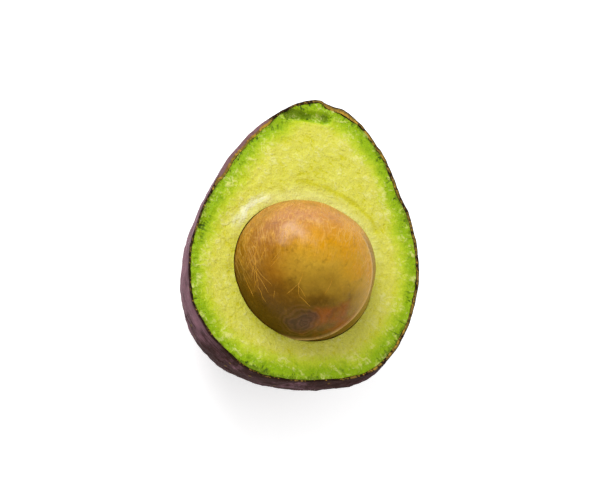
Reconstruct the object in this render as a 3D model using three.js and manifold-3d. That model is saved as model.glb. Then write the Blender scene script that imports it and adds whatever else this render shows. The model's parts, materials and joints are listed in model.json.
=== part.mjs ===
// Half an avocado, cut lengthwise through the stem end, lying on its back with the seed in place.
// Millimetres, +Z up. +X runs across the fruit and +Y runs along it, towards the stem end. The cut
// face is level and looks up. The origin is the centre of the small flat spot that the fruit lies on.

import * as THREE from "three";
import { mergeVertices } from "three/addons/utils/BufferGeometryUtils.js";
import Module from "manifold-3d";

// ---- Driving dimensions ----

// The whole fruit, before it is cut in half.
const fruitLength = 90; // from the blossom end to the stem end
const fruitHalfWidth = 34.6; // distance from the axis to the peel, halfway along
const fruitTaper = 8.3; // how much the neck loses, and the belly gains, on the half-width
const fruitBend = 4; // how far both ends lean to -X
const cutAboveAxis = 1.8; // the cut passes a little off the axis, so this half is the larger one

const peelThickness = 1.2;
const restDepth = 0.6; // how far the lying fruit's weight presses its back flat

// The seed. Its middle lies in the cut face, so the upper half of it stands out.
const seedLength = 43;
const seedHalfWidth = 21.4;
const seedTaper = 0.7;
const seedFromMiddle = -10.4; // from the fruit's middle along its axis, towards the blossom end
const seedSideways = -0.8;

const fitGap = 0.3; // clearance between two pieces that touch

// How finely the round surfaces are divided.
const fruitRows = 32;
const fruitSegments = 56;
const seedRows = 20;
const seedSegments = 36;

// ---- The egg curve ----

// An egg-shaped solid of revolution. Station v runs from -1 at the broad end to +1 at the narrow end.
class Egg {
  constructor(length, halfWidth, taper) {
    this.halfLength = length / 2;
    this.halfWidth = halfWidth;
    this.taper = taper;
  }

  radiusAt(v) {
    return Math.sqrt(1 - v * v) * (this.halfWidth - this.taper * v);
  }

  // The station where the egg is widest, where the slope of radiusAt is zero.
  widestStation() {
    if (this.taper === 0) return 0;
    const root = Math.hypot(this.halfWidth, Math.sqrt(8) * this.taper);
    return (this.halfWidth - root) / (4 * this.taper);
  }

  widestRadius() {
    return this.radiusAt(this.widestStation());
  }

  // The same egg with its surface moved out by a distance, or in where it is negative.
  grownBy(distance) {
    const length = 2 * (this.halfLength + distance);
    return new Egg(length, this.halfWidth + distance, this.taper);
  }

  // The surface, turned about the Y axis. Both ends of its profile lie on that axis.
  geometry(rows, segments) {
    const profile = [];
    for (let row = 0; row <= rows; row++) {
      const v = -Math.cos((Math.PI * row) / rows);
      const atEnd = row === 0 || row === rows;
      const radius = atEnd ? 0 : this.radiusAt(v);
      profile.push(new THREE.Vector2(radius, v * this.halfLength));
    }
    return new THREE.LatheGeometry(profile, segments);
  }
}

const fruit = new Egg(fruitLength, fruitHalfWidth, fruitTaper);
const seed = new Egg(seedLength, seedHalfWidth, seedTaper);

// ---- Solids ----

const wasm = await Module();
wasm.setup();

function solidOf(geometry) {
  const bare = geometry.clone();
  bare.deleteAttribute("normal");
  bare.deleteAttribute("uv");
  const merged = mergeVertices(bare, 1e-4);
  return new wasm.Manifold(
    new wasm.Mesh({
      numProp: 3,
      vertProperties: merged.attributes.position.array,
      triVerts: new Uint32Array(merged.index.array),
    }),
  );
}

function geometryOf(solid) {
  const mesh = solid.getMesh();
  const position = new THREE.BufferAttribute(new Float32Array(mesh.vertProperties), 3);
  const geometry = new THREE.BufferGeometry().setAttribute("position", position);
  geometry.setIndex(new THREE.BufferAttribute(new Uint32Array(mesh.triVerts), 1));
  geometry.computeVertexNormals();
  return geometry;
}

// How far the fruit's axis leans sideways at a station.
function leanAt(v) {
  return -fruitBend * v * v;
}

// A block as large as the fruit, with one face at the height given, above it or below it.
function blockFrom(height, direction) {
  const size = 2 * fruitLength;
  const block = new THREE.BoxGeometry(size, size, size);
  block.translate(0, 0, height + (direction * size) / 2);
  return solidOf(block);
}

// The bent fruit's surface moved in by a depth, with the flat that it lies on.
function fruitBody(depth) {
  const egg = fruit.grownBy(-depth);
  const geometry = egg.geometry(fruitRows, fruitSegments);
  const position = geometry.attributes.position;
  for (let i = 0; i < position.count; i++) {
    const v = position.getY(i) / egg.halfLength;
    position.setX(i, position.getX(i) + leanAt(v));
  }
  const flatHeight = restDepth - egg.widestRadius();
  return solidOf(geometry).subtract(blockFrom(flatHeight, -1));
}

// The seed's surface moved out by a distance, where it sits in the fruit.
function seedBody(distance) {
  const geometry = seed.grownBy(distance).geometry(seedRows, seedSegments);
  geometry.translate(seedSideways, seedFromMiddle, cutAboveAxis);
  return solidOf(geometry);
}

const aboveTheCut = blockFrom(cutAboveAxis, 1);

function peelSolid() {
  return fruitBody(0).subtract(fruitBody(peelThickness)).subtract(aboveTheCut);
}

function fleshSolid() {
  return fruitBody(peelThickness + fitGap).subtract(seedBody(fitGap)).subtract(aboveTheCut);
}

// ---- The assembly ----

function piece(name, solid, colour, roughness) {
  const material = new THREE.MeshStandardMaterial({ color: colour, roughness, metalness: 0 });
  const mesh = new THREE.Mesh(geometryOf(solid), material);
  mesh.name = name;
  return mesh;
}

const avocadoHalf = new THREE.Group();
avocadoHalf.add(
  piece("peel", peelSolid(), 0x4a3038, 0.6),
  piece("flesh", fleshSolid(), 0xc8d455, 0.4),
  piece("seed", seedBody(0), 0xa4681e, 0.45),
);

// The pieces are made about the fruit's axis. Here the resting spot comes to the origin.
const belly = fruit.widestStation();
avocadoHalf.position.set(
  -leanAt(belly),
  -belly * fruit.halfLength,
  fruit.widestRadius() - restDepth,
);

export default avocadoHalf;
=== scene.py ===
"""Half an avocado, cut lengthwise, lying on its back with the seed in its hollow.

Metres, +Z up. The cut face is level and looks up, +Y runs towards the stem end, and the origin is
the centre of the small flat spot that the fruit rests on.
"""

import json
import math
import random

import bpy
from mathutils import Matrix, Vector, kdtree, noise

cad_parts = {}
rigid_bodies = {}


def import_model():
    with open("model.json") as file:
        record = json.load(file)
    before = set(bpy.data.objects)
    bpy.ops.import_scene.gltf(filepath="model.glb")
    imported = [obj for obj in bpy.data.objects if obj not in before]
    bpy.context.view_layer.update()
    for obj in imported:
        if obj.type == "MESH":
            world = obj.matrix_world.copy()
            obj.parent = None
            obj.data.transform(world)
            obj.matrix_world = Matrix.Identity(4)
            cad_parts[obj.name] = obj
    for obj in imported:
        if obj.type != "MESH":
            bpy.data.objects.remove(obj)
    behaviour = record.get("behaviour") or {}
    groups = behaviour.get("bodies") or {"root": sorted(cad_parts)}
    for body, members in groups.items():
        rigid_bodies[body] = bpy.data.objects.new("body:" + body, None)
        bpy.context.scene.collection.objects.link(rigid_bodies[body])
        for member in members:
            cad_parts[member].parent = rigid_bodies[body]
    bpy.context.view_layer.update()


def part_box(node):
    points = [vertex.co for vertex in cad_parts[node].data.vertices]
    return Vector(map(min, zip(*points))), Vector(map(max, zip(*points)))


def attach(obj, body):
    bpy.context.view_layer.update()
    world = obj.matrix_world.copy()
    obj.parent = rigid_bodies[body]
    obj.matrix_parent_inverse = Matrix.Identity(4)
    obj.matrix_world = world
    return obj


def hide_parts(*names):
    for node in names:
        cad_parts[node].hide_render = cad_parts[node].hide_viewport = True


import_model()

bl_info = {
    "name": "Avocado half",
    "version": (1, 0, 0),
    "blender": (4, 5, 0),
    "location": "3D View > Sidebar > Avocado",
    "description": "Makes the peel, flesh and seed of an avocado cut in half, and a stage for it",
    "category": "Add Mesh",
}

MM = 0.001
# Points this close below the cut count as on it.
ON_CUT = 1e-5
PEEL_LOW, PEEL_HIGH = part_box("peel")
SEED_LOW, SEED_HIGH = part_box("seed")
CUT_HEIGHT = PEEL_HIGH.z
FRUIT_LENGTH = PEEL_HIGH.y - PEEL_LOW.y


# ---- Sizes and colours ----


def size(name, about, default):
    return bpy.props.FloatProperty(
        name=name, description=about, default=default, subtype="DISTANCE", unit="LENGTH", precision=5
    )


def angle(name, about, degrees):
    return bpy.props.FloatProperty(
        name=name, description=about, default=math.radians(degrees), subtype="ANGLE", unit="ROTATION"
    )


def amount(name, about, default):
    return bpy.props.FloatProperty(name=name, description=about, default=default)


def colour(name, about, red, green, blue):
    """A colour given as it looks on screen, from 0 to 255, and kept as linear light."""
    linear = [(channel / 255) ** 2.2 for channel in (red, green, blue)]
    return bpy.props.FloatVectorProperty(
        name=name, description=about, default=linear, size=3, min=0, max=1, subtype="COLOR"
    )


class FruitSizes(bpy.types.PropertyGroup):
    half_width: size("Half width", "From the fruit's axis to the peel, halfway along", 34.6 * MM)
    taper: size("Taper", "What the neck loses and the belly gains on the half width", 8.3 * MM)
    bend: size("Bend", "How far both ends lean to -X", 4 * MM)
    cut_above_axis: size("Cut above axis", "How far the knife passed off the fruit's axis", 1.8 * MM)
    uneven: size("Uneven outline", "How far the outline wanders in and out", 0.9 * MM)
    peel_thickness: size("Peel thickness", "Across the torn cut edge, where the peel is thickest", 1.8 * MM)
    peel_thinnest: amount("Peel, thinnest", "The least thickness of the peel, as a share of the most", 0.3)
    peel_gap: size("Peel gap", "Between the peel and the flesh", 0.05 * MM)
    pebble_size: size("Pebble size", "Across one bump of the peel", 2.4 * MM)
    pebble_height: size("Pebble height", "From the creases of the peel to the tops", 0.2 * MM)
    seed_gap: size("Seed gap", "Between the seed and its hollow", 0.28 * MM)


class FruitColours(bpy.types.PropertyGroup):
    peel_dark: colour("Peel, dark", "Creases and streaks of the peel", 38, 20, 24)
    peel_middle: colour("Peel, middle", "Most of the peel", 82, 46, 54)
    peel_brown: colour("Peel, brown", "The peel round the blossom end", 50, 32, 20)
    # The waxy bloom, which also serves as a painted sheen on one side of the peel.
    peel_bloom_and_sheen: colour("Peel, bloom", "The pale waxy bloom on the peel", 132, 96, 106)
    peel_speck: colour("Peel, specks", "Corky specks on the peel", 128, 104, 44)
    edge_dark: colour("Cut edge, dark", "The dry cut edge of the peel", 44, 26, 8)
    edge_brown: colour("Cut edge, brown", "The peel where the knife tore it", 124, 100, 44)
    edge_tan: colour("Cut edge, tan", "Torn bits of the cut edge", 186, 144, 50)
    fleck_green: colour("Flesh, flecks", "Dark flecks next to the peel", 52, 78, 8)
    rim_green: colour("Flesh, at the peel", "The darkest green, next to the peel", 112, 140, 12)
    leaf_green: colour("Flesh, green", "The green band inside the peel", 144, 178, 8)
    lime: colour("Flesh, lime", "Between the green and the yellow", 188, 205, 42)
    butter: colour("Flesh, yellow", "Most of the cut face", 214, 211, 84)
    cream: colour("Flesh, pale", "Pale smears of the knife", 230, 228, 142)
    mustard: colour("Flesh, deep yellow", "Bruised and thin places", 200, 196, 22)
    # A painted highlight: the bright stroke by the seed.
    gloss: colour("Flesh, bright stroke", "The wet stroke of the knife", 240, 240, 190)
    # The tan of the pointed end, partly painted light on the seed's top.
    seed_crown_and_light: colour("Seed, crown", "The dusty tan of the pointed end", 184, 124, 52)
    seed_golden: colour("Seed, golden", "The clear bright patch of the coat", 204, 142, 2)
    seed_amber: colour("Seed, amber", "The glossy brown-orange of one side", 138, 86, 1)
    seed_tan: colour("Seed, tan", "The dull middle of the coat", 190, 148, 46)
    seed_olive: colour("Seed, olive", "The dull parts towards the blunt end", 124, 86, 6)
    # The dark blunt end, partly its own colour and partly painted shade.
    seed_umber_and_shade: colour("Seed, umber", "The blunt end", 84, 60, 4)
    seed_ruddy: colour("Seed, ruddy spot", "The red-brown spot by the scar", 142, 76, 8)
    seed_scar: colour("Seed, scar", "The grey-brown scar at the blunt end", 70, 50, 36)
    seed_dust: colour("Seed, dust", "The mauve bloom on the coat", 178, 122, 86)
    # A pale dry patch of the coat, which also serves as a painted highlight.
    seed_powder_and_highlight: colour("Seed, powder", "The palest dry patch of the papery coat", 214, 172, 132)
    seed_vein: colour("Seed, veins", "The fine veins of the coat", 206, 150, 52)
    seed_hair: colour("Seed, hairs", "The pale web of fine hairs on the coat", 232, 184, 100)
    seed_seam: colour("Seed, seam", "The pale seam of the coat", 218, 176, 108)


class StageSettings(bpy.types.PropertyGroup):
    azimuth: angle("Azimuth", "Which side the camera stands on", -31.9)
    elevation: angle("Elevation", "How far above the horizon the camera stands", 61.25)
    roll: angle("Roll", "How far the camera is turned about its own axis", 48.1)
    distance: size("Distance", "From the middle of the cut face to the camera", 661 * MM)
    lens: amount("Lens", "Focal length in millimetres", 132.6)
    key_power: amount("Key power", "The large soft light, in watts", 2.7)
    fill: amount("Fill", "The even light of the pale room", 0.72)


# ---- Modelling helpers ----


def deselect_all():
    if bpy.context.object and bpy.context.object.mode != "OBJECT":
        bpy.ops.object.mode_set(mode="OBJECT")
    bpy.ops.object.select_all(action="DESELECT")


def make_active(piece):
    deselect_all()
    piece.select_set(True)
    bpy.context.view_layer.objects.active = piece


def named(piece_name):
    piece = bpy.context.object
    piece.name = piece_name
    piece.data.name = piece_name
    return piece


def apply(piece, modifier):
    make_active(piece)
    bpy.ops.object.modifier_apply(modifier=modifier.name)


def place(piece, scale, middle):
    """Scales a new primitive and moves it to its middle, in its mesh."""
    piece.scale = scale
    piece.location = middle
    make_active(piece)
    bpy.ops.object.transform_apply(location=True, rotation=True, scale=True)


def edit(piece, kind):
    """Opens a piece for editing its points or edges, with nothing selected."""
    make_active(piece)
    bpy.ops.object.mode_set(mode="EDIT")
    bpy.ops.mesh.select_mode(type=kind)
    bpy.ops.mesh.select_all(action="DESELECT")


def pick(piece, rule):
    """Opens a piece for editing with only the points that a rule picks by their place selected."""
    edit(piece, "VERT")
    bpy.ops.object.mode_set(mode="OBJECT")
    for vertex in piece.data.vertices:
        vertex.select = rule(vertex.co)
    bpy.ops.object.mode_set(mode="EDIT")


def keep_below(point, upwards=(0, 0, 1)):
    """Cuts the selected faces along a plane and takes away what is above it."""
    bpy.ops.mesh.bisect(plane_co=point, plane_no=upwards, clear_outer=True)


def weigh(piece, group_name, rule):
    """Gives each point a weight from 0 to 1, by its place."""
    group = piece.vertex_groups.new(name=group_name)
    for vertex in piece.data.vertices:
        weight = rule(vertex.co)
        if weight > 0:
            group.add([vertex.index], min(weight, 1), "REPLACE")
    return group.name


def mark(piece, layer_name, rule):
    """Keeps a number at each point, for a material to read."""
    layer = piece.data.attributes.new(layer_name, "FLOAT", "POINT")
    for vertex in piece.data.vertices:
        layer.data[vertex.index].value = rule(vertex)


def cloud(name, across, kind="CLOUDS", depth=2):
    """A soft random pattern with lumps of a size."""
    pattern = bpy.data.textures.new(name, kind)
    pattern.noise_scale = across
    if kind == "CLOUDS":
        pattern.noise_depth = depth
    return pattern


def push(piece, distance, pattern=None, group="", direction="NORMAL", middle=0.5):
    """Moves the surface out by a pattern of a height, or by a plain distance."""
    modifier = piece.modifiers.new("push", "DISPLACE")
    modifier.strength = distance
    modifier.mid_level = middle if pattern else 0
    modifier.direction = direction
    modifier.vertex_group = group
    if pattern:
        modifier.texture = pattern
        modifier.texture_coords = "LOCAL"
    apply(piece, modifier)


def smoothstep(low, high, value):
    share = min(max((value - low) / (high - low), 0), 1)
    return share * share * (3 - 2 * share)


def near(where, reach):
    """A rule that is 1 at a place and fades to 0 at a distance from it."""
    return lambda co: 1 - smoothstep(0, reach, (co - where).length)


# ---- The fruit's shape ----


# Where the outline swells or sinks in: a place, how far round it, and how much.
KNOBS = (
    (Vector((20, 34, 36)) * MM, 13 * MM, -1.1 * MM),
    (Vector((33, 0, 36)) * MM, 11 * MM, -0.6 * MM),
    (Vector((27, -22, 36)) * MM, 15 * MM, 1.3 * MM),
    (Vector((-8, -37, 37)) * MM, 14 * MM, 1.1 * MM),
    (Vector((-26, 28, 32)) * MM, 18 * MM, 0.8 * MM),
    (Vector((-15, -25, 18)) * MM, 18 * MM, 1.0 * MM),
)
# Places where the knife tore a wide strip of the peel: each a place and how far round it.
TORN_EDGES = (
    (Vector((-27, 30, 36.7)) * MM, 19 * MM),
    (Vector((-1, 49.5, 36.7)) * MM, 9 * MM),
)
# The dimple where the stem was: where it is deepest and where it ends, from the tip, and its depth.
DIMPLE_REACH = (2 * MM, 4.2 * MM)
DIMPLE_DEPTH = 0.9 * MM


class Fruit:
    """The egg-shaped fruit about its axis, which lies a little below the cut face."""

    def __init__(self, sizes, depth=0.0):
        self.sizes = sizes
        self.half_length = FRUIT_LENGTH / 2 - depth
        self.half_width = sizes.half_width - depth
        middle_y = (PEEL_LOW.y + PEEL_HIGH.y) / 2
        belly = -2 * middle_y / FRUIT_LENGTH
        self.middle = Vector((sizes.bend * belly * belly, middle_y, CUT_HEIGHT - sizes.cut_above_axis))

    def tip(self, end):
        """The stem end (1) or the blossom end (-1) of the axis."""
        return self.middle + Vector((-self.sizes.bend, end * self.half_length, 0))

    def thick_side(self, co):
        """Where the peel is thicker, from 0 to 1: somewhat on the +X side, and most where it is torn."""
        towards = co.x + 0.45 * (co.y - self.middle.y)
        ragged = noise.noise(co / (3.2 * MM))
        thick = 0.36 * min(max(smoothstep(-8 * MM, 20 * MM, towards) * 0.85 + 0.45 * ragged, 0), 1)
        for where, reach in TORN_EDGES:
            torn = 1 - smoothstep(0.45 * reach, reach, (co - where).length)
            thick = max(thick, torn * (0.85 + 0.4 * ragged))
        return min(thick, 1)

    def shape(self, piece):
        """Tapers and bends an ellipsoid of the fruit's size, with a lattice round it."""
        stations = 33
        bpy.ops.object.add(type="LATTICE", location=self.middle)
        cage = bpy.context.object
        cage.scale = (2 * self.half_width, 2 * self.half_length, 2 * self.half_width)
        cage.data.points_u = 2
        cage.data.points_v = stations
        cage.data.points_w = 2
        cage.data.interpolation_type_u = "KEY_LINEAR"
        cage.data.interpolation_type_v = "KEY_CARDINAL"
        cage.data.interpolation_type_w = "KEY_LINEAR"
        for point in cage.data.points:
            station = 2 * point.co.y
            wide = 1 - self.sizes.taper / self.half_width * station
            lean = -self.sizes.bend * station * station / (2 * self.half_width)
            point.co_deform = (point.co.x * wide + lean, point.co.y, point.co.z * wide)
        modifier = piece.modifiers.new("cage", "LATTICE")
        modifier.object = cage
        apply(piece, modifier)
        bpy.data.objects.remove(cage)

    def half(self, piece_name, segments, rings):
        """The fruit's surface below the cut, open there."""
        deselect_all()
        bpy.ops.mesh.primitive_uv_sphere_add(segments=segments, ring_count=rings, radius=1)
        piece = named(piece_name)
        place(piece, (self.half_width, self.half_length, self.half_width), self.middle)
        bpy.ops.object.mode_set(mode="EDIT")
        bpy.ops.mesh.select_all(action="SELECT")
        above_axis = self.sizes.cut_above_axis
        slope = above_axis * self.sizes.taper / (self.half_width * self.half_length)
        keep_below(self.middle + Vector((0, 0, above_axis)), (0, -slope, 1))
        bpy.ops.object.mode_set(mode="OBJECT")
        self.shape(piece)
        above_foot = weigh(piece, "above the foot", lambda co: smoothstep(3 * MM, 12 * MM, co.z))
        push(piece, self.sizes.uneven, cloud("uneven outline", 9 * MM, depth=2), above_foot)
        for where, reach, distance in KNOBS:
            push(piece, distance, None, weigh(piece, "knob", near(where, reach)))
        self.level_rim(piece)
        return piece

    def dent_stem(self, piece):
        """Presses in the dimple where the stem was, at the same place for the peel and the flesh."""
        stem = Fruit(self.sizes).tip(1)
        flat, reach = DIMPLE_REACH
        dimple = weigh(piece, "stem", lambda co: 1 - smoothstep(flat, reach, (co - stem).length))
        push(piece, -DIMPLE_DEPTH, None, dimple)

    @staticmethod
    def level_rim(piece):
        """Puts the open edge of a piece in the plane of the cut."""
        edit(piece, "EDGE")
        bpy.ops.mesh.select_non_manifold()
        bpy.ops.transform.resize(value=(1, 1, 0), center_override=(0, 0, CUT_HEIGHT))
        bpy.ops.object.mode_set(mode="OBJECT")


# ---- Material helper ----


class Recipe:
    """A material's nodes, added one after another."""

    def __init__(self, name):
        self.material = bpy.data.materials.new(name)
        self.material.use_nodes = True
        self.tree = self.material.node_tree
        self.tree.nodes.clear()
        self.here = self.add("ShaderNodeTexCoord").outputs["Object"]
        self.tint = None

    def add(self, kind, settings=None, feeds=None):
        """Adds a node, sets it up, and feeds its sockets with values or with other nodes' outputs."""
        node = self.tree.nodes.new(kind)
        for key, value in (settings or {}).items():
            setattr(node, key, value)
        for key, value in (feeds or {}).items():
            if isinstance(value, bpy.types.NodeSocket):
                self.tree.links.new(value, node.inputs[key])
            else:
                node.inputs[key].default_value = value
        return node

    def math(self, operation, first, second=0.0, third=0.0):
        feeds = {0: first, 1: second, 2: third}
        return self.add("ShaderNodeMath", {"operation": operation}, feeds).outputs[0]

    def moved(self, coords, middle, scale=(1, 1, 1)):
        """Coordinates from a middle point, stretched."""
        at_middle = self.add("ShaderNodeMapping", {}, {"Vector": coords, "Location": [-c for c in middle]})
        feeds = {"Vector": at_middle.outputs[0], "Scale": scale}
        return self.add("ShaderNodeMapping", {}, feeds).outputs[0]

    def noise(self, coords, across, detail=4.0, roughness=0.55, distortion=0.0):
        feeds = {
            "Vector": coords,
            "Scale": 1 / across,
            "Detail": detail,
            "Roughness": roughness,
            "Distortion": distortion,
        }
        return self.add("ShaderNodeTexNoise", {}, feeds).outputs["Fac"]

    def vector(self, operation, *values):
        """Vector arithmetic on coordinates."""
        node = self.add("ShaderNodeVectorMath", {"operation": operation}, dict(enumerate(values)))
        return node.outputs["Value" if operation in ("LENGTH", "DISTANCE", "DOT_PRODUCT") else "Vector"]

    def unit(self, coords):
        return self.vector("NORMALIZE", coords)

    def length(self, coords):
        return self.vector("LENGTH", coords)

    def dot(self, coords, direction):
        return self.vector("DOT_PRODUCT", coords, direction)

    def axis(self, letter):
        """One coordinate of a point."""
        return self.add("ShaderNodeSeparateXYZ", {}, {0: self.here}).outputs[letter]

    def layer(self, name):
        """What a piece keeps at each point under a name."""
        return self.add("ShaderNodeAttribute", {"attribute_name": name}).outputs["Fac"]

    def strayed(self, coords, across, distance):
        """Coordinates that wander, so that a pattern on them bends."""
        feeds = {"Vector": coords, "Scale": 1 / across, "Detail": 2}
        wander = self.add("ShaderNodeTexNoise", {}, feeds).outputs["Color"]
        centred = self.vector("SUBTRACT", wander, (0.5, 0.5, 0.5))
        return self.vector("MULTIPLY_ADD", centred, (distance, distance, distance), coords)

    def cells(self, coords, across, feature="F1"):
        feeds = {"Vector": coords, "Scale": 1 / across}
        return self.add("ShaderNodeTexVoronoi", {"feature": feature}, feeds).outputs["Distance"]

    def between(self, value, low, high, out_low=0.0, out_high=1.0, smooth=True):
        """Turns the stretch from low to high into the stretch from out_low to out_high."""
        kind = {"interpolation_type": "SMOOTHSTEP" if smooth else "LINEAR"}
        feeds = {"Value": value, "From Min": low, "From Max": high, "To Min": out_low, "To Max": out_high}
        return self.add("ShaderNodeMapRange", kind, feeds).outputs["Result"]

    def peak(self, value, middle, reach):
        """A mask that is 1 at a value and fades to 0 at a distance from it."""
        off = self.math("ABSOLUTE", self.math("SUBTRACT", value, middle))
        return self.between(off, reach, 0)

    def facing(self, outward, direction, edge, full):
        """A mask for the side that faces a direction, by the cosines where it starts and is full."""
        return self.between(self.dot(outward, direction), edge, full)

    def blend(self, factor, first, second):
        """Goes from one value to another, by a mask."""
        feeds = {0: factor, 2: first, 3: second}
        return self.add("ShaderNodeMix", {"data_type": "FLOAT"}, feeds).outputs[0]

    def sum(self, *parts):
        """Adds up pairs of a value and its weight."""
        total = self.math("MULTIPLY", *parts[0])
        for value, weight in parts[1:]:
            total = self.math("MULTIPLY_ADD", value, weight, total)
        return total

    def ramp(self, value, stops):
        """A colour that runs through stops, each a place from 0 to 1 and a colour."""
        node = self.add("ShaderNodeValToRGB", {}, {"Fac": value})
        band = node.color_ramp
        band.elements.remove(band.elements[1])
        for index, (where, tint) in enumerate(stops):
            stop = band.elements.new(where) if index else band.elements[0]
            stop.position = where
            stop.color = (*tint, 1)
        return node.outputs["Color"]

    def mix(self, factor, first, second, blend="MIX"):
        """Blends two colours, by a factor or a mask."""
        node = self.add("ShaderNodeMix", {"data_type": "RGBA", "blend_type": blend}, {0: factor})
        for socket, value in ((node.inputs[6], first), (node.inputs[7], second)):
            if isinstance(value, bpy.types.NodeSocket):
                self.tree.links.new(value, socket)
            else:
                socket.default_value = (*value, 1)
        return node.outputs[2]

    def both(self, first, second):
        """Multiplies two masks, or a mask and a strength."""
        return self.math("MULTIPLY", first, second)

    def paint(self, over, mask, strength=None):
        """Lays a colour over the tint so far where a mask is set."""
        self.tint = self.mix(self.both(mask, strength) if strength else mask, self.tint, over)

    def mottle(self, value, low, high):
        """Darkens or lightens the tint so far, by a value, between two strengths."""
        self.tint = self.mix(1.0, self.tint, self.shade(value, low, high), "MULTIPLY")

    def shade(self, value, low, high):
        """A grey multiplier between two strengths, to lighten or darken a colour."""
        grey = self.between(value, 0.0, 1.0, low, high, smooth=False)
        return self.add("ShaderNodeCombineColor", {}, {0: grey, 1: grey, 2: grey}).outputs[0]

    def bump(self, height, distance, normal=None):
        feeds = {"Height": height, "Distance": distance}
        if normal:
            feeds["Normal"] = normal
        return self.add("ShaderNodeBump", {}, feeds).outputs["Normal"]

    def finish(self, roughness, normal, **constants):
        feeds = {"Base Color": self.tint, "Roughness": roughness, "Normal": normal}
        for key, value in constants.items():
            feeds[key.replace("_", " ").title()] = value
        shader = self.add("ShaderNodeBsdfPrincipled", {}, {})
        for key, value in feeds.items():
            socket = next(s for s in shader.inputs if s.name.lower() == key.lower())
            if isinstance(value, bpy.types.NodeSocket):
                self.tree.links.new(value, socket)
            else:
                socket.default_value = value
        self.add("ShaderNodeOutputMaterial", {}, {"Surface": shader.outputs[0]})
        return self.material


# ---- The peel ----


# The side where the peel is painted paler, a painted sheen over its waxy bloom, as a direction from the
# fruit's middle.
SHEEN_SIDE = Vector((-0.99, -0.05, -0.1))
# The browner blossom end, as a direction from the fruit's middle.
BLOSSOM_SIDE = Vector((0.35, -0.93, 0.05))
# Places on the cut edge of the peel that show torn tan bits: each a place and how far round it.
TAN_EDGES = (
    (Vector((-25, 33, 36.7)) * MM, 17 * MM),
    (Vector((3, 49, 36.7)) * MM, 12 * MM),
    (Vector((28, -18, 36.7)) * MM, 14 * MM),
)


# The swelling of the blossom end, a little below the cut: its middle, reach and height.
SWELLING_MIDDLE = Vector((24 * MM, -28 * MM, CUT_HEIGHT - 6 * MM))
SWELLING_REACH = 24 * MM
SWELLING_HEIGHT = 1.1 * MM


def peel_material(tints, sizes):
    recipe = Recipe("peel skin")
    fruit = Fruit(sizes)
    local = recipe.moved(recipe.here, middle=fruit.middle)
    outward = recipe.unit(local)
    around = recipe.unit(recipe.vector("MULTIPLY", local, (1, 0, 1)))
    around = recipe.vector("MULTIPLY", around, (34 * MM, 0, 34 * MM))
    grain_place = recipe.vector("MULTIPLY_ADD", local, (0, 0.2, 0), around)
    grain_place = recipe.strayed(grain_place, 6 * MM, 3.2 * MM)
    ends = recipe.length(recipe.vector("MULTIPLY", local, (1, 0, 1)))
    ends = recipe.between(ends, 24 * MM, 12 * MM)
    streaks = recipe.noise(grain_place, 0.9 * MM, roughness=0.65)
    streaks = recipe.blend(ends, streaks, recipe.noise(recipe.here, 1.6 * MM, roughness=0.6))
    broad = recipe.noise(grain_place, 4.5 * MM, detail=3)
    broad = recipe.blend(ends, broad, recipe.noise(recipe.here, 5 * MM, detail=3))
    blotches = recipe.noise(recipe.here, 11 * MM)
    grain = recipe.noise(recipe.here, 0.6 * MM, detail=3)
    pebbles = recipe.cells(recipe.strayed(recipe.here, 3 * MM, 1.2 * MM), 2.1 * MM, "SMOOTH_F1")

    streaked = recipe.sum((streaks, 0.5), (broad, 0.3), (blotches, 0.2))
    recipe.tint = recipe.mix(recipe.between(streaked, 0.43, 0.55), tints.peel_dark, tints.peel_middle)
    brown = recipe.both(recipe.facing(outward, BLOSSOM_SIDE, -0.1, 0.85), 0.8)
    recipe.paint(tints.peel_brown, brown)
    # Paler bloom colour: partly the real waxy bloom at random, partly a painted sheen on one side.
    sheen_side = recipe.facing(outward, SHEEN_SIDE, 0.3, 0.88)
    bloom = recipe.between(recipe.sum((streaked, 1.0), (blotches, 0.5), (sheen_side, 0.27)), 0.78, 1.0)
    recipe.paint(tints.peel_bloom_and_sheen, bloom, 0.8)
    # Painted light and shade on the pebbles: their tops lighter and the creases between them darker.
    tops = recipe.between(recipe.math("MULTIPLY_ADD", grain, 0.3, pebbles), 0.65, 0.2)
    recipe.mottle(tops, 0.78, 1.08)
    pores = recipe.cells(recipe.here, 4.2 * MM)
    pore_mask = recipe.both(recipe.between(pores, 0.14, 0.08), 0.5)
    recipe.paint(tints.peel_speck, pore_mask)
    recipe.mottle(grain, 0.8, 1.2)
    stem = recipe.length(recipe.moved(recipe.here, middle=fruit.tip(1)))
    corky = recipe.between(recipe.math("MULTIPLY_ADD", grain, 1.6 * MM, stem), 4.4 * MM, 3.2 * MM)
    recipe.paint(tints.edge_brown, corky)
    height = recipe.axis("Z")
    ragged = recipe.math("MULTIPLY_ADD", streaks, 1.6 * MM, height)
    at_cut = recipe.between(ragged, CUT_HEIGHT, CUT_HEIGHT + 0.7 * MM)
    recipe.paint(tints.edge_dark, at_cut, 0.8)

    roughness = recipe.between(recipe.math("ADD", blotches, grain), 0.6, 1.4, 0.45, 0.7)
    roughness = recipe.blend(brown, roughness, 0.9)
    normal = recipe.bump(pebbles, -0.3 * MM)
    normal = recipe.bump(streaks, 0.3 * MM, normal)
    normal = recipe.bump(grain, 0.08 * MM, normal)
    return recipe.finish(
        roughness,
        normal,
        specular_ior_level=0.05,
        sheen_weight=0.05,
        sheen_roughness=0.4,
        sheen_tint=(0.85, 0.5, 0.65, 1),
    )


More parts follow.
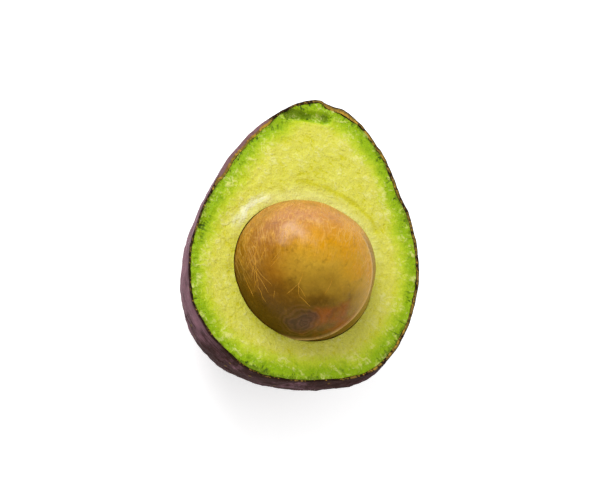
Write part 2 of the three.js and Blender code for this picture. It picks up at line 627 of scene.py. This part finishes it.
def cut_edge_material(tints):
    recipe = Recipe("peel cut edge")
    patches = recipe.noise(recipe.here, 4 * MM)
    crumbs = recipe.noise(recipe.here, 0.9 * MM, detail=3, roughness=0.6)
    torn = recipe.sum((patches, 0.5), (crumbs, 0.5))
    thick_side = recipe.layer("thick")
    inwards = recipe.layer("inwards")
    inwards = recipe.math("MULTIPLY_ADD", patches, 0.5, recipe.math("MULTIPLY_ADD", crumbs, 0.3, inwards))
    brown = recipe.between(recipe.sum((torn, 1.0), (thick_side, 0.3)), 0.5, 0.62)
    recipe.tint = recipe.mix(brown, tints.edge_dark, tints.edge_brown)
    bits = recipe.both(recipe.between(crumbs, 0.56, 0.68), recipe.between(inwards, 0.7, 1.1))
    recipe.paint(tints.edge_tan, bits, 0.7)
    for where, reach in TAN_EDGES:
        off = recipe.vector("DISTANCE", recipe.here, tuple(where))
        tan = recipe.both(recipe.between(off, reach, 0.4 * reach), recipe.between(torn, 0.44, 0.54))
        tan = recipe.both(tan, recipe.between(inwards, 0.85, 1.15))
        recipe.paint(tints.edge_tan, tan, 0.8)
    sideways = recipe.axis("X")
    curled = recipe.between(sideways, -14 * MM, -19 * MM)
    curled = recipe.both(recipe.between(thick_side, 0.45, 0.8), curled)
    curled = recipe.both(curled, recipe.between(inwards, 1.02, 0.82))
    recipe.paint(tints.peel_bloom_and_sheen, curled, 0.85)
    outer = recipe.between(inwards, 0.72, 0.5)
    outer = recipe.both(outer, recipe.math("SUBTRACT", 1, curled))
    recipe.paint(tints.peel_dark, outer)
    recipe.mottle(crumbs, 0.5, 1.5)
    return recipe.finish(0.7, recipe.bump(crumbs, 0.25 * MM), specular_ior_level=0.12)


class AVOCADO_OT_peel(bpy.types.Operator):
    """Makes the pebbled peel, a thin shell with an uneven cut edge"""

    bl_idname = "avocado.peel"
    bl_label = "Make peel"

    def execute(self, context):
        sizes = context.scene.avocado_sizes
        tints = context.scene.avocado_colours
        fruit = Fruit(sizes)
        peel = fruit.half("avocado_peel", segments=400, rings=200)
        back = weigh(peel, "back", lambda co: smoothstep(0, 4 * MM, CUT_HEIGHT - co.z))
        swelling = weigh(peel, "swelling", self.swelling)
        push(peel, SWELLING_HEIGHT, None, swelling)
        push(peel, 0.8 * MM, cloud("lumps", 14 * MM), back)
        pebbles = cloud("pebbles", sizes.pebble_size, "VORONOI")
        push(peel, 2 * sizes.pebble_height, pebbles, back, middle=0.7)
        push(peel, 0.25 * MM, cloud("wrinkles", 4 * MM, depth=3), back)
        fruit.dent_stem(peel)
        edge = weigh(peel, "edge", lambda co: 1 - smoothstep(0, 1.2 * MM, CUT_HEIGHT - co.z))
        push(peel, 0.8 * MM, cloud("ragged cut", 2.2 * MM), edge, "Z")
        self.flatten_foot(peel)
        mark(peel, "thick", lambda vertex: fruit.thick_side(vertex.co))
        peel.data.materials.append(peel_material(tints, sizes))
        peel.data.materials.append(cut_edge_material(tints))
        self.thicken(peel, fruit, sizes)
        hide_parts("peel")
        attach(peel, "root")
        return {"FINISHED"}

    @staticmethod
    def swelling(co):
        """The blossom end swells on its +X side, a little below the cut."""
        off = (co - SWELLING_MIDDLE).length
        return (1 - smoothstep(0, SWELLING_REACH, off)) * smoothstep(0, 5 * MM, CUT_HEIGHT - co.z)

    @staticmethod
    def flatten_foot(peel):
        """Presses flat what would reach below the surface that the fruit lies on."""
        pick(peel, lambda co: co.z < 0)
        bpy.ops.transform.resize(value=(1, 1, 0), center_override=(0, 0, 0))
        bpy.ops.object.mode_set(mode="OBJECT")

    @staticmethod
    def thicken(peel, fruit, sizes):
        """Gives the peel its wall, thinner in some places than in others."""
        uneven = weigh(peel, "uneven", fruit.thick_side)
        wall = peel.modifiers.new("wall", "SOLIDIFY")
        wall.thickness = sizes.peel_thickness
        wall.offset = -1
        wall.use_quality_normals = True
        wall.vertex_group = uneven
        wall.thickness_vertex_group = sizes.peel_thinnest
        wall.material_offset_rim = 1
        outer_points = len(peel.data.vertices)
        apply(peel, wall)
        mark(peel, "inwards", lambda vertex: vertex.index >= outer_points)
        bpy.ops.object.shade_smooth_by_angle(angle=math.radians(50))


# ---- The flesh ----


# Directions in the cut face from the seed's middle: a bright stroke that is a painted highlight, a deep arc
# that the knife left, and a shiny side with a band of painted sheen.
HIGHLIGHT_STROKE = Vector((-0.84, 0.54, 0))
DEEP_ARC = Vector((0.24, 0.97, 0))
SHINY_SIDE = Vector((-0.1, 0.99, 0))
# The ends of the groove next to the stem.
STEM_GROOVE = (Vector((-16, 46.4, 0)) * MM, Vector((-4.5, 48.8, 0)) * MM)


# How far the cut face rises or falls at each kind of mark.
GROOVE_DEPTH = 1.2 * MM
WAVE_HEIGHT = 1.0 * MM
MARK_HEIGHT = 0.45 * MM
FIBRE_HEIGHT = 1.1 * MM


def flesh_material(tints, seed_middle):
    recipe = Recipe("avocado flesh")
    strayed = recipe.strayed(recipe.here, 6 * MM, 2.4 * MM)
    from_seed = recipe.moved(strayed, middle=seed_middle, scale=(1, 1, 0))
    reach = recipe.length(from_seed)
    outward = recipe.unit(from_seed)
    raised = recipe.add("ShaderNodeCombineXYZ", {}, {"Z": reach}).outputs[0]
    across_fibres = recipe.vector("MULTIPLY", outward, (30 * MM, 30 * MM, 0))
    fibre_place = recipe.vector("MULTIPLY_ADD", raised, (0, 0, 0.3), across_fibres)
    fibres = recipe.noise(fibre_place, 0.7 * MM, roughness=0.7)
    smear_place = recipe.vector("MULTIPLY_ADD", across_fibres, (0.3, 0.3, 0), raised)
    smears = recipe.noise(smear_place, 1.6 * MM, roughness=0.6)
    mottle = recipe.noise(recipe.here, 4.4 * MM, detail=5, roughness=0.6, distortion=0.4)
    dapple = recipe.noise(recipe.here, 1.5 * MM, roughness=0.6, distortion=0.8)
    slow = recipe.noise(recipe.here, 15 * MM, detail=2)
    grain = recipe.noise(recipe.here, 0.5 * MM, detail=3, roughness=0.7)

    depth = recipe.layer("from_peel")
    wander = recipe.sum((slow, 5 * MM), (fibres, 3.5 * MM), (mottle, 4 * MM), (dapple, 2 * MM))
    wander = recipe.math("SUBTRACT", wander, 7.25 * MM)
    share = recipe.between(recipe.math("ADD", depth, wander), 0, 10 * MM, smooth=False)
    recipe.tint = recipe.ramp(
        share,
        [
            (0.0, tints.rim_green),
            (0.07, tints.leaf_green),
            (0.22, tints.leaf_green),
            (0.46, tints.lime),
            (0.76, tints.butter),
        ],
    )
    inner = recipe.between(share, 0.3, 0.75)
    spotted = recipe.sum((dapple, 0.5), (mottle, 0.35), (smears, 0.15))
    pale = recipe.between(spotted, 0.51, 0.63)
    recipe.paint(tints.cream, pale, 0.65)
    deep = recipe.both(recipe.between(spotted, 0.475, 0.39), inner)
    recipe.paint(tints.mustard, deep, 0.85)

    stroked = recipe.between(smears, 0.35, 0.6)
    # A pale band round the stem side of the hollow, painted as a sheen.
    shiny = recipe.both(recipe.peak(reach, 23.5 * MM, 4 * MM), recipe.facing(outward, SHINY_SIDE, 0.1, 0.8))
    recipe.paint(tints.cream, shiny, 0.55)
    arc = recipe.both(recipe.peak(reach, 28 * MM, 1.3 * MM), recipe.facing(outward, DEEP_ARC, 0.82, 0.93))
    recipe.paint(tints.mustard, arc, 0.8)
    # The bright stroke by the seed, a painted highlight.
    stroke = recipe.both(recipe.peak(reach, 24.6 * MM, 2.6 * MM), stroked)
    stroke = recipe.both(stroke, recipe.facing(outward, HIGHLIGHT_STROKE, 0.93, 0.985))
    recipe.paint(tints.gloss, stroke)

    outer = recipe.between(depth, 4 * MM, 0.8 * MM)
    outer = recipe.both(outer, recipe.between(depth, -0.8 * MM, 0))
    torn = recipe.between(recipe.sum((fibres, 0.6), (mottle, 0.4)), 0.445, 0.39)
    recipe.paint(tints.fleck_green, recipe.both(torn, outer), 0.9)
    frayed = recipe.between(recipe.sum((fibres, 0.7), (dapple, 0.3)), 0.6, 0.67)
    frayed = recipe.both(frayed, recipe.between(depth, 2 * MM, 0.6 * MM))
    recipe.paint(tints.butter, frayed, 0.55)
    recipe.mottle(grain, 0.8, 1.2)

    roughness = recipe.between(recipe.math("ADD", dapple, grain), 0.75, 1.25, 0.24, 0.5)
    normal = recipe.bump(recipe.sum((mottle, 1.0), (smears, 0.5)), 0.6 * MM)
    normal = recipe.bump(recipe.sum((fibres, 0.4), (dapple, 1.0)), 0.4 * MM, normal)
    normal = recipe.bump(grain, 0.16 * MM, normal)
    return recipe.finish(
        roughness,
        normal,
        subsurface_weight=0.15,
        subsurface_radius=(1.0, 0.9, 0.2),
        subsurface_scale=1.0 * MM,
        specular_ior_level=0.22,
        specular_tint=(1, 1, 0.6, 1),
    )


class AVOCADO_OT_flesh(bpy.types.Operator):
    """Makes the flesh, with the hollow that the seed sits in"""

    bl_idname = "avocado.flesh"
    bl_label = "Make flesh"

    def execute(self, context):
        sizes = context.scene.avocado_sizes
        tints = context.scene.avocado_colours
        thinnest = sizes.peel_thinnest * sizes.peel_thickness
        fruit = Fruit(sizes, thinnest + sizes.peel_gap)
        flesh = fruit.half("avocado_flesh", segments=600, rings=28)
        push(flesh, thinnest - sizes.peel_thickness, None, weigh(flesh, "thick peel", fruit.thick_side))
        fruit.dent_stem(flesh)
        fruit.level_rim(flesh)
        back = weigh(flesh, "back", lambda co: smoothstep(0, 3 * MM, CUT_HEIGHT - co.z))
        push(flesh, -1.1 * MM, None, back)
        outline = [vertex.co.copy() for vertex in flesh.data.vertices if vertex.co.z > CUT_HEIGHT - ON_CUT]
        seed_middle = (SEED_LOW + SEED_HIGH) / 2
        seed_middle.z = CUT_HEIGHT
        self.add_hollow(flesh, seed_middle, (SEED_HIGH.x - SEED_LOW.x) / 2 + sizes.seed_gap)
        self.bridge()
        self.measure_from_peel(flesh, outline)
        self.relief(flesh)
        flesh.data.materials.append(flesh_material(tints, seed_middle))
        make_active(flesh)
        bpy.ops.object.shade_smooth_by_angle(angle=math.radians(60))
        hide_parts("flesh")
        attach(flesh, "root")
        return {"FINISHED"}

    @staticmethod
    def add_hollow(flesh, middle, radius):
        edit(flesh, "EDGE")
        bpy.ops.mesh.primitive_uv_sphere_add(segments=600, ring_count=24, radius=radius, location=middle)
        keep_below(middle)
        bpy.ops.mesh.select_linked()
        bpy.ops.mesh.flip_normals()

    @staticmethod
    def bridge():
        """Closes the cut face from the peel to the hollow with rings of faces."""
        bpy.ops.mesh.select_mode(type="EDGE")
        bpy.ops.mesh.select_all(action="DESELECT")
        bpy.ops.mesh.select_non_manifold()
        bpy.ops.mesh.bridge_edge_loops(number_cuts=84, interpolation="LINEAR")
        bpy.ops.mesh.select_all(action="SELECT")
        bpy.ops.mesh.normals_make_consistent(inside=False)
        bpy.ops.object.mode_set(mode="OBJECT")

    @staticmethod
    def measure_from_peel(flesh, outline):
        """Keeps each point's distance from the peel, which the green band follows."""
        tree = kdtree.KDTree(len(outline))
        for index, point in enumerate(outline):
            tree.insert(point, index)
        tree.balance()
        deeper = 4.5 * MM
        groove = AVOCADO_OT_flesh.groove
        mark(flesh, "from_peel", lambda vertex: tree.find(vertex.co)[2] - deeper * groove(vertex.co))

    @staticmethod
    def groove(co):
        """How far a point is inside the groove next to the stem, from 0 to 1."""
        start, end = STEM_GROOVE
        at = Vector((co.x, co.y, 0))
        along = min(max((at - start).dot(end - start) / (end - start).length_squared, 0), 1)
        off = (at - start.lerp(end, along)).length
        return 1 - smoothstep(0.5 * MM, 2.4 * MM, off)

    def relief(self, flesh):
        """The uneven cut: soft waves, torn fibres at the peel, and a groove at the stem end."""
        depth = [entry.value for entry in flesh.data.attributes["from_peel"].data]
        top = flesh.vertex_groups.new(name="cut face")
        rim = flesh.vertex_groups.new(name="rim")
        for vertex in flesh.data.vertices:
            if vertex.co.z < CUT_HEIGHT - ON_CUT:
                continue
            inward = depth[vertex.index]
            top.add([vertex.index], smoothstep(0, 2 * MM, inward), "REPLACE")
            rim.add([vertex.index], 1 - smoothstep(0.2 * MM, 2.6 * MM, inward), "REPLACE")
        weigh(flesh, "groove", lambda co: self.groove(co) if co.z > CUT_HEIGHT - ON_CUT else 0)
        push(flesh, -GROOVE_DEPTH, None, "groove", "Z")
        push(flesh, WAVE_HEIGHT, cloud("knife waves", 12 * MM), "cut face", "Z")
        push(flesh, MARK_HEIGHT, cloud("knife marks", 2.6 * MM, depth=3), "cut face", "Z")
        push(flesh, FIBRE_HEIGHT, cloud("torn fibres", 1.4 * MM, depth=2), "rim", "Z", middle=0.6)


# ---- The seed ----


# Places on the seed, as directions from its middle.
SEED_FRONT = Vector((-0.25, -0.41, 0.88))
SEED_CROWN = Vector((-0.32, 0.89, 0.32))
SEED_SIDE = SEED_CROWN.cross(SEED_FRONT).normalized()
SEED_SCAR = Vector((0.0, -0.91, 0.41))
SEED_RUDDY_SPOT = Vector((0.43, -0.79, 0.43))
SEED_GOLDEN_SPOT = Vector((0.43, 0.15, 0.89))
SEED_DUSTY_SPOT = Vector((-0.56, 0.35, 0.75))
# The pale powder patch, which is also a painted highlight.
SEED_POWDER_HIGHLIGHT_SPOT = Vector((-0.38, 0.14, 0.91))
SEED_TAN_SPOT = Vector((0.02, -0.36, 0.93))
# The underside, painted dark as painted shade.
SEED_SHADED_UNDERSIDE = Vector((0.2, -0.96, 0.1))
# The seam: its angle from the front, its ridge's half width in radians, its height and the step outside.
SEAM_TURN = math.radians(66)
SEAM_SPREAD = 0.038
SEAM_HEIGHT = 0.35 * MM
SEAM_STEP = 0.45 * MM
# The veins: their radius, how deep they sink, one step as an angle, and the points in a long strand.
VEIN_RADIUS = 0.08 * MM
VEIN_SUNK = 0.03 * MM
VEIN_STEP = 0.035
LONG_STRAND = 15
# Where each vein starts, sideways and towards the crown, which way it leans, and its length in steps.
VEIN_STARTS = (
    (-0.93, 0.58, 0.3, 18),
    (-0.6, 0.42, -0.45, 9),
    (-1.2, 0.35, 0.2, 12),
    (-1.4, -0.05, 0.15, 12),
    (-0.78, 0.05, -0.3, 10),
    (-0.35, 0.7, 0.35, 11),
    (-0.02, -0.02, -0.45, 12),
    (0.4, -0.1, 0.15, 8),
)


def seed_material(tints, middle, radius):
    recipe = Recipe("seed coat")
    local = recipe.moved(recipe.here, middle=middle, scale=(1 / radius, 1 / radius, 1 / radius))
    outward = recipe.unit(local)
    height = recipe.dot(outward, SEED_SCAR)
    patches = recipe.noise(local, 0.5, roughness=0.5, distortion=0.5)
    blotches = recipe.noise(local, 0.2, detail=5, roughness=0.62, distortion=0.3)
    grain = recipe.noise(local, 0.035, detail=3, roughness=0.6)
    freckles = recipe.noise(local, 0.075, detail=3, roughness=0.65)
    along = recipe.add("ShaderNodeCombineXYZ", {}, {0: height, 1: height, 2: height}).outputs[0]
    along = recipe.vector("MULTIPLY", along, tuple(SEED_SCAR))
    ringwise = recipe.unit(recipe.vector("SUBTRACT", outward, along))
    lengthwise = recipe.vector("MULTIPLY_ADD", along, (0.22, 0.22, 0.22), ringwise)
    blunt_end = recipe.between(height, 0.45, 0.8)
    streaks = recipe.noise(recipe.strayed(lengthwise, 0.5, 0.15), 0.1, roughness=0.62)
    streaks = recipe.blend(blunt_end, streaks, recipe.noise(local, 0.13, roughness=0.6))

    feeds = {"Vector": local, "Scale": 3.4, "Detail": 4}
    wander = recipe.add("ShaderNodeTexNoise", {}, feeds).outputs["Color"]
    wander = recipe.vector("SUBTRACT", wander, (0.5, 0.5, 0.5))
    spread = recipe.vector("MULTIPLY_ADD", wander, (0.45, 0.45, 0.45), outward)
    # From umber at the blunt end to the crown's tan: partly the coat's own colours, partly painted shade
    # below and painted light on top.
    fall = recipe.dot(spread, SEED_CROWN)
    recipe.tint = recipe.ramp(
        recipe.between(fall, -1, 1, smooth=False),
        [
            (0.12, tints.seed_umber_and_shade),
            (0.36, tints.seed_olive),
            (0.54, tints.seed_tan),
            (0.68, tints.seed_golden),
            (0.86, tints.seed_crown_and_light),
        ],
    )

    # Each patch: where it is, the cosines where it starts and is full, its strength and its colour.
    for direction, edge, full, strength, patch_tint in (
        (0.9 * SEED_SIDE - 0.4 * SEED_CROWN, 0.25, 0.8, 0.85, tints.seed_tan),
        (-0.95 * SEED_SIDE + 0.1 * SEED_CROWN, -0.05, 0.45, 0.9, tints.seed_amber),
        # Umber on the lower side, partly painted shade.
        (-0.65 * SEED_SIDE - 0.75 * SEED_CROWN, 0.15, 0.8, 0.85, tints.seed_umber_and_shade),
        # Crown colour on the top, partly painted light.
        (SEED_CROWN, 0.45, 0.95, 0.75, tints.seed_crown_and_light),
        (SEED_GOLDEN_SPOT, 0.86, 1.0, 0.85, tints.seed_golden),
        (SEED_DUSTY_SPOT, 0.82, 1.05, 0.6, tints.seed_dust),
        (SEED_TAN_SPOT, 0.86, 1.04, 0.7, tints.seed_tan),
        # The pale powder patch: partly dry coat, partly a painted highlight.
        (SEED_POWDER_HIGHLIGHT_SPOT, 0.93, 1.09, 0.7, tints.seed_powder_and_highlight),
        # Umber on the underside, partly painted shade.
        (SEED_SHADED_UNDERSIDE, 0.35, 0.95, 0.8, tints.seed_umber_and_shade),
        (SEED_RUDDY_SPOT, 0.9, 1.06, 0.9, tints.seed_ruddy),
    ):
        recipe.paint(patch_tint, recipe.facing(spread, direction, edge, full), strength)
    near_scar = recipe.vector("MULTIPLY_ADD", wander, (0.12, 0.12, 0.12), outward)
    near_scar = recipe.dot(near_scar, SEED_SCAR)
    scar = recipe.between(near_scar, 0.97, 1.0)
    recipe.paint(tints.seed_scar, scar, 0.85)

    mottled = recipe.sum((blotches, 0.35), (streaks, 0.3), (freckles, 0.35))
    lighter = recipe.both(recipe.between(mottled, 0.51, 0.63), recipe.between(height, 0.9, -0.1, 0.1, 0.4))
    recipe.paint(tints.seed_vein, lighter)
    recipe.mottle(recipe.between(mottled, 0.48, 0.38), 1.0, 0.76)
    fine = recipe.cells(recipe.strayed(lengthwise, 0.3, 0.2), 0.08, "DISTANCE_TO_EDGE")
    coarse = recipe.cells(recipe.strayed(lengthwise, 0.4, 0.25), 0.15, "DISTANCE_TO_EDGE")
    net = recipe.math("MAXIMUM", recipe.between(coarse, 0.05, 0.0), recipe.between(fine, 0.09, 0.0))
    net = recipe.both(net, recipe.between(patches, 0.4, 0.6))
    net = recipe.both(net, recipe.math("SUBTRACT", 1, blunt_end))
    hairs = recipe.cells(recipe.strayed(lengthwise, 0.2, 0.3), 0.055, "DISTANCE_TO_EDGE")
    hairs = recipe.both(recipe.between(hairs, 0.13, 0.02), recipe.between(blotches, 0.36, 0.6))
    hairs = recipe.both(hairs, recipe.between(height, 0.7, 0.2))
    recipe.paint(tints.seed_hair, hairs, 0.34)
    recipe.paint(tints.seed_vein, net, 0.32)
    recipe.mottle(grain, 0.8, 1.2)
    seam = recipe.layer("seam")
    ring_place = recipe.vector("MULTIPLY_ADD", wander, (0.05, 0.05, 0.05), outward)
    ring_place = recipe.dot(ring_place, SEED_SCAR)
    rings = recipe.math("SINE", recipe.both(recipe.math("ARCCOSINE", ring_place), 90))
    rings = recipe.between(rings, -1, 1)
    rings = recipe.both(rings, recipe.between(ring_place, 0.93, 0.975))
    recipe.paint(tints.seed_dust, rings, 0.1)
    outside = recipe.layer("outside_seam")
    recipe.paint(tints.seed_olive, outside, 0.6)
    seam = recipe.both(seam, recipe.between(blotches, 0.3, 0.6, 0.35, 0.8))
    recipe.paint(tints.seed_seam, seam)
    roughness = recipe.between(blotches, 0.3, 0.7, 0.3, 0.46)
    normal = recipe.bump(recipe.sum((net, 0.5), (rings, 0.4), (hairs, 0.5)), 0.12 * MM)
    normal = recipe.bump(mottled, 0.5 * MM, normal)
    normal = recipe.bump(grain, 0.06 * MM, normal)
    return recipe.finish(
        roughness,
        normal,
        specular_ior_level=0.2,
        specular_tint=(1, 0.62, 0.2, 1),
        coat_weight=0.08,
        coat_roughness=0.3,
    )


def vein_material(tints):
    recipe = Recipe("seed vein")
    grain = recipe.noise(recipe.here, 1.5 * MM, detail=3)
    recipe.tint = recipe.mix(recipe.between(grain, 0.35, 0.65), tints.seed_golden, tints.seed_vein)
    return recipe.finish(0.5, recipe.bump(grain, 0.05 * MM), specular_ior_level=0.3)


class AVOCADO_OT_seed(bpy.types.Operator):
    """Makes the round seed, with the seam and the fine veins of its coat"""

    bl_idname = "avocado.seed"
    bl_label = "Make seed"

    def execute(self, context):
        tints = context.scene.avocado_colours
        middle = (SEED_LOW + SEED_HIGH) / 2
        half = (SEED_HIGH - SEED_LOW) / 2
        deselect_all()
        bpy.ops.mesh.primitive_ico_sphere_add(subdivisions=7, radius=1)
        seed = named("avocado_seed")
        place(seed, half, middle)
        above = weigh(seed, "above", lambda co: smoothstep(0, 4 * MM, co.z - CUT_HEIGHT))
        push(seed, 0.7 * MM, cloud("uneven seed", 15 * MM, depth=1), above)
        push(seed, -1.1 * MM, None, weigh(seed, "crown", lambda co: self.crown(co - middle)))
        self.add_seam(seed, middle)
        seed.data.materials.append(seed_material(tints, middle, half.x))
        seed.data.materials.append(vein_material(tints))
        self.add_veins(seed, middle)
        make_active(seed)
        bpy.ops.object.shade_smooth()
        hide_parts("seed")
        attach(seed, "root")
        return {"FINISHED"}

    @staticmethod
    def crown(outward):
        """The pointed end is a little blunt, above the cut."""
        towards = outward.normalized().dot(SEED_CROWN)
        return smoothstep(0.4, 0.95, towards) * smoothstep(0.5 * MM, 6 * MM, outward.z)

    @staticmethod
    def add_seam(seed, middle):
        """A low ridge where two halves of the coat meet, and the step outside it."""
        front = SEED_FRONT.normalized()
        side = (SEED_SIDE - 0.9 * SEED_CROWN).normalized()

        def off_seam(co):
            outward = (co - middle).normalized()
            return math.acos(max(-1, min(1, outward.dot(front)))) - SEAM_TURN, outward.dot(side)

        def ridge(co):
            off, towards = off_seam(co)
            return math.exp(-((off / SEAM_SPREAD) ** 2)) * smoothstep(0.1, 0.6, towards)

        def step(co):
            off, towards = off_seam(co)
            above = smoothstep(0.5 * MM, 4 * MM, co.z - CUT_HEIGHT)
            return smoothstep(-0.01, 0.05, off) * smoothstep(0.1, 0.5, towards) * above

        raised = weigh(seed, "ridge", ridge)
        mark(seed, "seam", lambda vertex: ridge(vertex.co))
        mark(seed, "outside_seam", lambda vertex: step(vertex.co))
        push(seed, -SEAM_STEP, None, weigh(seed, "outside the seam", step))
        push(seed, SEAM_HEIGHT, None, raised)

    @staticmethod
    def add_veins(seed, middle):
        """Thin branching veins that run down the coat, half sunk in it."""
        chance = random.Random(4)
        surface = seed.evaluated_get(bpy.context.evaluated_depsgraph_get())
        strands = []
        heads = []
        for sideways, up, lean, steps in VEIN_STARTS:
            start = (SEED_FRONT + sideways * SEED_SIDE + up * SEED_CROWN).normalized()
            heads.append((start, lean, steps))
        while heads:
            outward, lean, steps = heads.pop()
            strand = [outward]
            bias = 0.5 * lean
            for count in range(steps):
                down = -SEED_CROWN + outward * SEED_CROWN.dot(outward)
                down.normalize()
                across = outward.cross(down)
                lean = bias + 0.75 * (lean - bias) + chance.uniform(-0.4, 0.4)
                outward = (outward + VEIN_STEP * (down + across * lean)).normalized()
                strand.append(outward)
                if steps > 8 and count > 1 and chance.random() < 0.15:
                    heads.append((outward, lean + chance.choice((-0.7, 0.7)), steps // 2))
            strands.append(strand)
        curve = bpy.data.curves.new("veins", "CURVE")
        curve.dimensions = "3D"
        curve.bevel_depth = VEIN_RADIUS
        curve.bevel_resolution = 1
        curve.use_fill_caps = True
        curve.resolution_u = 2
        for strand in strands:
            spline = curve.splines.new("NURBS")
            spline.points.add(len(strand) - 1)
            spline.use_endpoint_u = True
            for index, (point, outward) in enumerate(zip(spline.points, strand)):
                hit, at = surface.ray_cast(middle + outward * 0.05, -outward)[:2]
                if not hit:
                    raise RuntimeError("a vein misses the seed")
                point.co = (*(at - outward * VEIN_SUNK), 1)
                share = index / (len(strand) - 1)
                thick = 0.9 if len(strand) > LONG_STRAND else 0.65
                point.radius = 0.35 + thick * math.sin(math.pi * min(share + 0.15, 1))
        veins = bpy.data.objects.new("veins", curve)
        bpy.context.scene.collection.objects.link(veins)
        veins.data.materials.append(seed.data.materials[1])
        make_active(veins)
        bpy.ops.object.convert(target="MESH")
        seed.select_set(True)
        bpy.context.view_layer.objects.active = seed
        bpy.ops.object.join()


# ---- The stage ----


class AVOCADO_OT_stage(bpy.types.Operator):
    """Makes the pale floor, the soft lights and the camera"""

    bl_idname = "avocado.stage"
    bl_label = "Make stage"

    def execute(self, context):
        stage = context.scene.avocado_stage
        target = Vector((0, (PEEL_LOW.y + PEEL_HIGH.y) / 2, CUT_HEIGHT))
        self.add_floor()
        right, up, back = self.add_camera(stage, target)
        key_turn = math.radians(64)
        key_from = math.cos(key_turn) * back + math.sin(key_turn) * up - 0.12 * right
        self.add_light("key", target, key_from.normalized(), 0.6, 0.5, stage.key_power)
        world = bpy.data.worlds.new("pale room")
        world.use_nodes = True
        world.node_tree.nodes["Background"].inputs["Color"].default_value = (1, 1, 1, 1)
        world.node_tree.nodes["Background"].inputs["Strength"].default_value = stage.fill
        context.scene.world = world
        context.scene.view_settings.view_transform = "Standard"
        context.scene.view_settings.look = "None"
        return {"FINISHED"}

    @staticmethod
    def add_floor():
        deselect_all()
        bpy.ops.mesh.primitive_plane_add(size=6, location=(0, 0, 0))
        floor = named("floor")
        recipe = Recipe("pale floor")
        speckle = recipe.noise(recipe.here, 40 * MM, detail=2)
        recipe.tint = recipe.mix(speckle, (0.93, 0.93, 0.93), (0.95, 0.95, 0.95))
        normal = recipe.bump(speckle, 0.02 * MM)
        lit = {"emission_color": (1, 1, 1, 1), "emission_strength": 0.5}
        floor.data.materials.append(recipe.finish(0.9, normal, specular_ior_level=0.0, **lit))

    @staticmethod
    def add_camera(stage, target):
        azimuth, elevation = stage.azimuth, stage.elevation
        back = Vector(
            (
                math.sin(azimuth) * math.cos(elevation),
                -math.cos(azimuth) * math.cos(elevation),
                math.sin(elevation),
            )
        )
        right = Vector((math.cos(azimuth), math.sin(azimuth), 0))
        turn = Matrix.Rotation(stage.roll, 3, back)
        right = turn @ right
        up = back.cross(right)
        bpy.ops.object.camera_add()
        camera = named("camera")
        camera.data.lens = stage.lens
        camera.data.clip_start = 0.01
        off_centre = 2.35 * MM * right + 1.62 * MM * up
        turned = Matrix((right, up, back)).transposed().to_4x4()
        camera.matrix_world = Matrix.Translation(target + stage.distance * back - off_centre) @ turned
        bpy.context.scene.camera = camera
        return right, up, back

    @staticmethod
    def add_light(light_name, target, direction, distance, across, power):
        bpy.ops.object.light_add(type="AREA")
        light = bpy.context.object
        light.name = light_name
        light.data.shape = "DISK"
        light.data.size = across
        light.data.energy = power
        light.location = target + distance * direction
        light.rotation_euler = direction.to_track_quat("Z", "Y").to_euler()


# ---- The panel and the run ----


class AVOCADO_PT_panel(bpy.types.Panel):
    """Lists the pieces that can be made, and their sizes and colours"""

    bl_idname = "AVOCADO_PT_panel"
    bl_label = "Avocado half"
    bl_space_type = "VIEW_3D"
    bl_region_type = "UI"
    bl_category = "Avocado"

    def draw(self, context):
        for maker in MAKERS:
            self.layout.operator(maker.bl_idname)
        for settings in (
            context.scene.avocado_sizes,
            context.scene.avocado_colours,
            context.scene.avocado_stage,
        ):
            box = self.layout.box()
            for key in settings.__annotations__:
                box.prop(settings, key)


SETTINGS = {
    "avocado_sizes": FruitSizes,
    "avocado_colours": FruitColours,
    "avocado_stage": StageSettings,
}
MAKERS = (AVOCADO_OT_peel, AVOCADO_OT_flesh, AVOCADO_OT_seed, AVOCADO_OT_stage)


def register():
    for cls in (*SETTINGS.values(), *MAKERS, AVOCADO_PT_panel):
        bpy.utils.register_class(cls)
    for key, group in SETTINGS.items():
        setattr(bpy.types.Scene, key, bpy.props.PointerProperty(type=group))


def unregister():
    for key in SETTINGS:
        delattr(bpy.types.Scene, key)
    for cls in (AVOCADO_PT_panel, *MAKERS, *SETTINGS.values()):
        bpy.utils.unregister_class(cls)


def main():
    register()
    bpy.ops.avocado.peel()
    bpy.ops.avocado.flesh()
    bpy.ops.avocado.seed()
    bpy.ops.avocado.stage()


if __name__ == "__main__":
    main()
